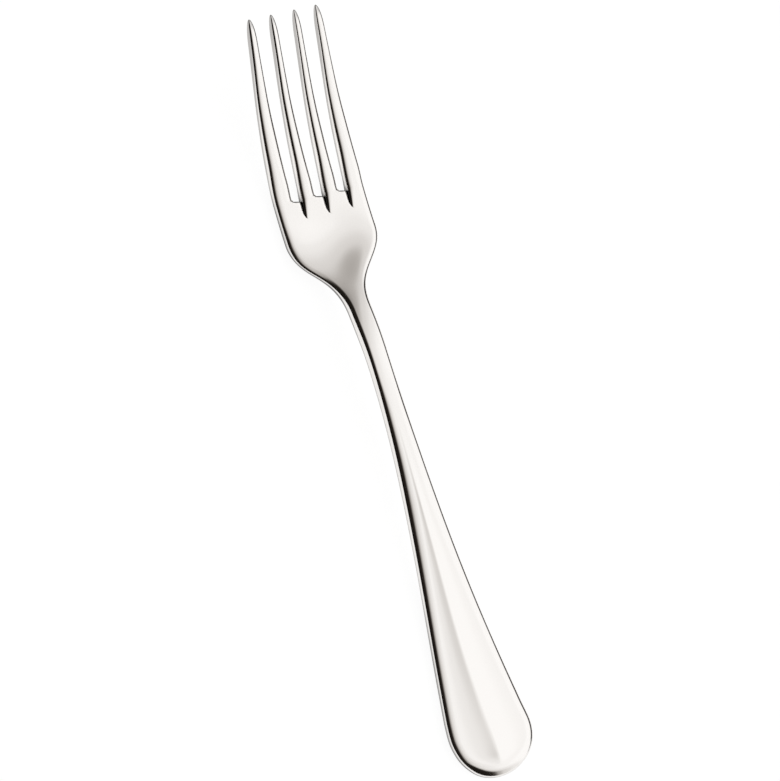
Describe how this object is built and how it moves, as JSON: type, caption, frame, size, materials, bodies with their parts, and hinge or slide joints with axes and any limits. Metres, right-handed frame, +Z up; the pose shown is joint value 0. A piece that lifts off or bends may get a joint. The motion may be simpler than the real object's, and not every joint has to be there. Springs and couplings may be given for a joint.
{
  "type": "serving fork",
  "caption": "One-piece polished stainless steel serving fork with tapering curved tines, a slender arched neck and a flared handle with a central ridge and round end.",
  "frame": {"origin": "on the table, under the middle of the fork's length and width", "axes": "+Y from the handle towards the points of the tines, +Z up out of the front of the fork, +X to the right seen from the front with the points away"},
  "size_m": [0.0296, 0.2392, 0.0207],
  "materials": {
    "polished_steel": "mirror polished, with fine polishing lines along the fork"
  },
  "bodies": {
    "root": {"handle": "polished_steel", "neck": "polished_steel", "palm": "polished_steel", "tine_left_outer": "polished_steel", "tine_left_inner": "polished_steel", "tine_right_inner": "polished_steel", "tine_right_outer": "polished_steel"}
  },
  "joints": []
}
